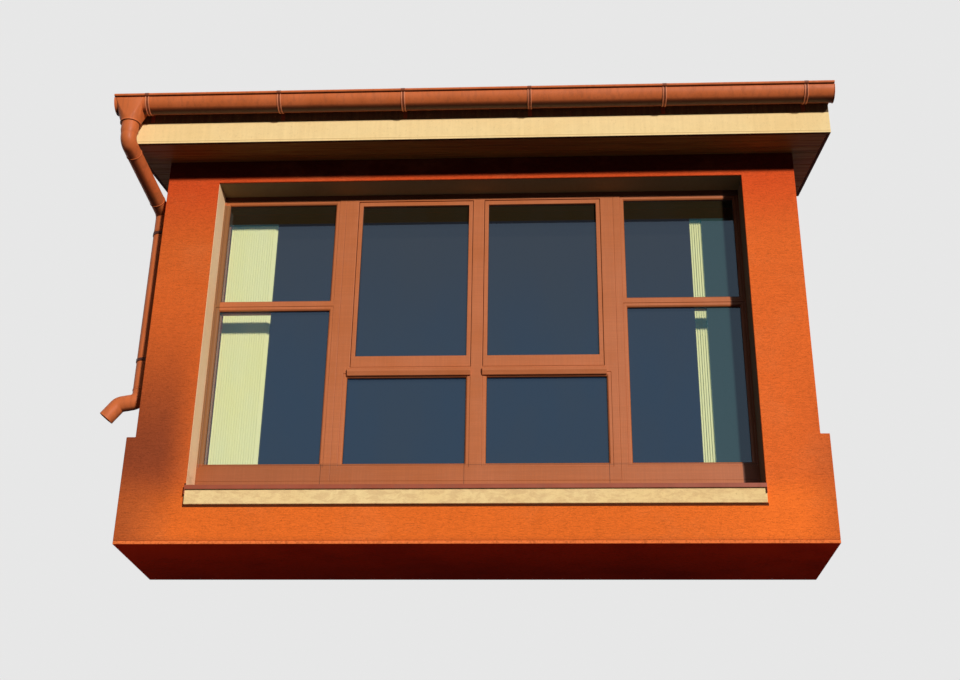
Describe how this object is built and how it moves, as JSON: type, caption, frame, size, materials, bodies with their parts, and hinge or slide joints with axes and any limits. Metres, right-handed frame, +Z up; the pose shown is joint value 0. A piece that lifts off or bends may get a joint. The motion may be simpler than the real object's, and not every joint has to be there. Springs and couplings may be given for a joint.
{
  "type": "oriel window",
  "caption": "Box oriel with a wide mullioned window, opening sashes, mono-pitch roof, half-round gutter and swan-neck downpipe.",
  "frame": {"origin": "middle of the back face of the floor panel, in the plane of the main wall", "axes": "+X to the right seen from outside, +Y into the main wall, +Z up; the window looks towards -Y"},
  "size_m": [4.6004, 1.313, 3.0546],
  "materials": {
    "orange_render": "coarse scratched render",
    "red_underside": "dark red render",
    "cream_render": "fine cream render",
    "timber_panel": "insulated timber panel",
    "oak_floor": "boards",
    "white_plaster": "painted board",
    "dark_soffit": "dark stained boards",
    "brown_metal": "coated sheet metal",
    "brown_frame": "red-brown painted wood",
    "sill_metal": "coated sheet metal",
    "track_aluminium": "satin",
    "green_blind": "pale green woven slats",
    "window_glass": "tinted sealed units"
  },
  "bodies": {
    "root": {"cheek_wall_left": "orange_render", "cheek_wall_right": "orange_render", "front_pier_left": "orange_render", "front_pier_right": "orange_render", "front_spandrel": "orange_render", "front_lintel": "orange_render", "underside_board": "red_underside", "rendered_sill": "cream_render", "fascia_front": "cream_render", "fascia_sides": "cream_render", "reveal_sides": "cream_render", "reveal_head": "cream_render", "floor_panel": "timber_panel", "roof_panel": "timber_panel", "floor_finish": "oak_floor", "ceiling_board": "white_plaster", "window_board": "white_plaster", "soffit_front": "dark_soffit", "soffit_sides": "dark_soffit", "roof_sheet": "brown_metal", "gutter": "brown_metal", "gutter_stop_ends": "brown_metal", "gutter_brackets": "brown_metal", "outlet_funnel": "brown_metal", "swan_neck": "brown_metal", "downpipe": "brown_metal", "pipe_clamps": "brown_metal", "window_frame_left": "brown_frame", "window_frame_middle": "brown_frame", "window_frame_right": "brown_frame", "bottom_rail": "brown_frame", "sash_left": "brown_frame", "sash_right": "brown_frame", "glazing_beads": "brown_frame", "weather_bars": "brown_frame", "metal_sill": "sill_metal", "blind_track": "track_aluminium", "downlights": "track_aluminium", "blinds": "green_blind", "fixed_glass": "window_glass", "sash_glass": "window_glass"}
  },
  "joints": []
}
